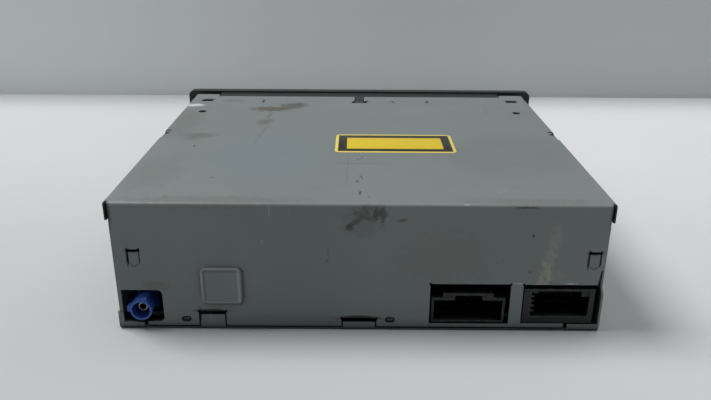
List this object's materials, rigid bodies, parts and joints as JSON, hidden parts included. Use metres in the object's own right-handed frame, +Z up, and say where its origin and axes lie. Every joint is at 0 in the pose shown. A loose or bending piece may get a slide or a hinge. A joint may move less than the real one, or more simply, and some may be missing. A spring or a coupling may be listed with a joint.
{
  "type": "car navigation disc player",
  "caption": "One-slot-high car navigation unit with a slot-loading disc drive: folded steel case, plastic bezel with disc slot and eject button, rear sockets for power, signals and antenna.",
  "frame": {"origin": "middle of the whole unit's footprint, at the bezel's lower edge", "axes": "+X across the unit, to the right when it is seen from behind; +Y from the rear sockets to the front bezel; +Z up"},
  "size_m": [0.188, 0.1694, 0.0524],
  "materials": {
    "coated_steel": "matt zinc-coated sheet",
    "bezel_plastic": "fine grain",
    "black_plastic": "satin",
    "blue_plastic": "satin",
    "felt": "short pile",
    "circuit_board": "solder mask",
    "chip_black": "moulded",
    "bright_steel": "satin",
    "aluminium": "satin",
    "gold_plate": "plated",
    "rubber": "matt",
    "gear_plastic": "natural",
    "clear_plastic": "clear",
    "ribbon_film": "film",
    "button_plastic": "satin"
  },
  "bodies": {
    "case": {"top_cover": "coated_steel", "lower_tray": "coated_steel", "front_plate": "coated_steel", "bezel": "bezel_plastic", "slot_felts": "felt", "flap_spring": "bright_steel", "tact_switch": "black_plastic", "front_board": "circuit_board", "light_guide": "clear_plastic", "main_board": "circuit_board", "board_screws": "bright_steel", "processor": "chip_black", "heat_spreader": "aluminium", "memory_chips": "chip_black", "capacitors": "aluminium", "power_coil": "chip_black", "receiver_shield": "bright_steel", "turn_sensor": "chip_black", "board_sockets": "gear_plastic", "pickup_ribbon": "ribbon_film", "power_connector": "black_plastic", "power_pins": "gold_plate", "data_connector": "black_plastic", "data_pins": "gold_plate", "antenna_housing": "blue_plastic", "antenna_shield": "bright_steel", "antenna_pin": "gold_plate", "deck_frame": "bright_steel", "disc_guide": "black_plastic", "suspension_posts": "bright_steel", "deck_dampers": "rubber", "damper_screws": "bright_steel", "roller_bushes": "gear_plastic", "loading_motor": "bright_steel", "mode_motor": "bright_steel", "clamp_pivot": "bright_steel", "spindle_motor": "bright_steel", "traverse_frame": "aluminium", "traverse_mounts": "rubber", "guide_rods": "bright_steel", "sled_motor": "bright_steel"},
    "dust_flap": {"dust_flap": "black_plastic"},
    "eject_button": {"eject_button": "button_plastic"},
    "switch_plunger": {"switch_plunger": "gear_plastic"},
    "roller": {"roller_shaft": "bright_steel", "roller_rubbers": "rubber", "roller_gear": "gear_plastic"},
    "compound_gear": {"compound_gear": "gear_plastic"},
    "motor_pinion": {"motor_pinion": "gear_plastic"},
    "mode_slider": {"mode_slider": "bright_steel"},
    "mode_pinion": {"mode_pinion": "gear_plastic"},
    "clamp_arm": {"clamp_arm": "bright_steel"},
    "clamper": {"clamper": "black_plastic"},
    "turntable": {"turntable": "aluminium"},
    "pickup": {"pickup_body": "aluminium"},
    "lens": {"lens_holder": "black_plastic"},
    "lead_screw": {"lead_screw": "bright_steel"},
    "sensor_lever_left": {"sensor_lever_left": "black_plastic"},
    "sensor_lever_right": {"sensor_lever_right": "black_plastic"}
  },
  "joints": [
    {"name": "eject_press", "type": "slide", "parent": "case", "child": "eject_button", "axis": [0, -1, 0], "range_m": [0, 0.0008], "stiffness_N_per_m": 250, "springref_m": -0.001},
    {"name": "plunger_press", "type": "slide", "parent": "case", "child": "switch_plunger", "axis": [0, -1, 0], "range_m": [0, 0.0008]},
    {"name": "flap_swing", "type": "hinge", "parent": "case", "child": "dust_flap", "pos_m": [0, 0.07325, 0.0394], "axis": [1, 0, 0], "range_deg": [-62, 62], "stiffness_Nm_per_rad": 0.0006},
    {"name": "roller_spin", "type": "hinge", "parent": "case", "child": "roller", "pos_m": [0, 0.05635, 0.0286], "axis": [1, 0, 0], "continuous": true},
    {"name": "compound_spin", "type": "hinge", "parent": "case", "child": "compound_gear", "pos_m": [-0.079, 0.0444, 0.02755], "axis": [1, 0, 0], "continuous": true},
    {"name": "motor_spin", "type": "hinge", "parent": "case", "child": "motor_pinion", "pos_m": [-0.0817, 0.0325, 0.02599], "axis": [1, 0, 0], "continuous": true},
    {"name": "clamp_lower", "type": "hinge", "parent": "case", "child": "clamp_arm", "pos_m": [0, -0.06115, 0.0411], "axis": [1, 0, 0], "range_deg": [-4.3, 0]},
    {"name": "mode_slide", "type": "slide", "parent": "case", "child": "mode_slider", "axis": [0, 1, 0], "range_m": [-0.00001, 0.00801]},
    {"name": "mode_pinion_turn", "type": "hinge", "parent": "case", "child": "mode_pinion", "pos_m": [0.0783, 0.01685, 0.0272], "axis": [1, 0, 0], "range_deg": [-127.52, 0.2]},
    {"name": "clamper_spin", "type": "hinge", "parent": "clamp_arm", "child": "clamper", "pos_m": [0, -0.00938, 0.0461], "axis": [0, -0.075, 0.9972], "continuous": true},
    {"name": "turntable_spin", "type": "hinge", "parent": "case", "child": "turntable", "pos_m": [0, -0.00915, 0.0342], "axis": [0, 0, 1], "continuous": true},
    {"name": "pickup_slide", "type": "slide", "parent": "case", "child": "pickup", "axis": [-1, 0, 0], "range_m": [0, 0.034]},
    {"name": "lead_screw_spin", "type": "hinge", "parent": "case", "child": "lead_screw", "pos_m": [0, 0.01485, 0.0274], "axis": [1, 0, 0], "range_deg": [-1, 4081]},
    {"name": "lens_focus", "type": "slide", "parent": "pickup", "child": "lens", "axis": [0, 0, 1], "range_m": [-0.0005, 0.0005], "stiffness_N_per_m": 30},
    {"name": "left_lever_swing", "type": "hinge", "parent": "case", "child": "sensor_lever_left", "pos_m": [-0.058, 0.03885, 0.039], "axis": [0, 0, 1], "range_deg": [0, 55], "stiffness_Nm_per_rad": 0.0004, "springref_deg": -11.46},
    {"name": "right_lever_swing", "type": "hinge", "parent": "case", "child": "sensor_lever_right", "pos_m": [0.058, 0.03885, 0.039], "axis": [0, 0, 1], "range_deg": [-55, 0], "stiffness_Nm_per_rad": 0.0004, "springref_deg": 11.46}
  ],
  "couplings": [
    {"joint": "plunger_press", "follows": "eject_press", "ratio": 1},
    {"joint": "compound_spin", "follows": "roller_spin", "ratio": -2.3333},
    {"joint": "motor_spin", "follows": "roller_spin", "ratio": 7},
    {"joint": "mode_slide", "follows": "clamp_lower", "m_per_rad": -0.10657},
    {"joint": "mode_pinion_turn", "follows": "clamp_lower", "ratio": 29.602},
    {"joint": "lead_screw_spin", "follows": "pickup_slide", "rad_per_m": 2094.4}
  ]
}
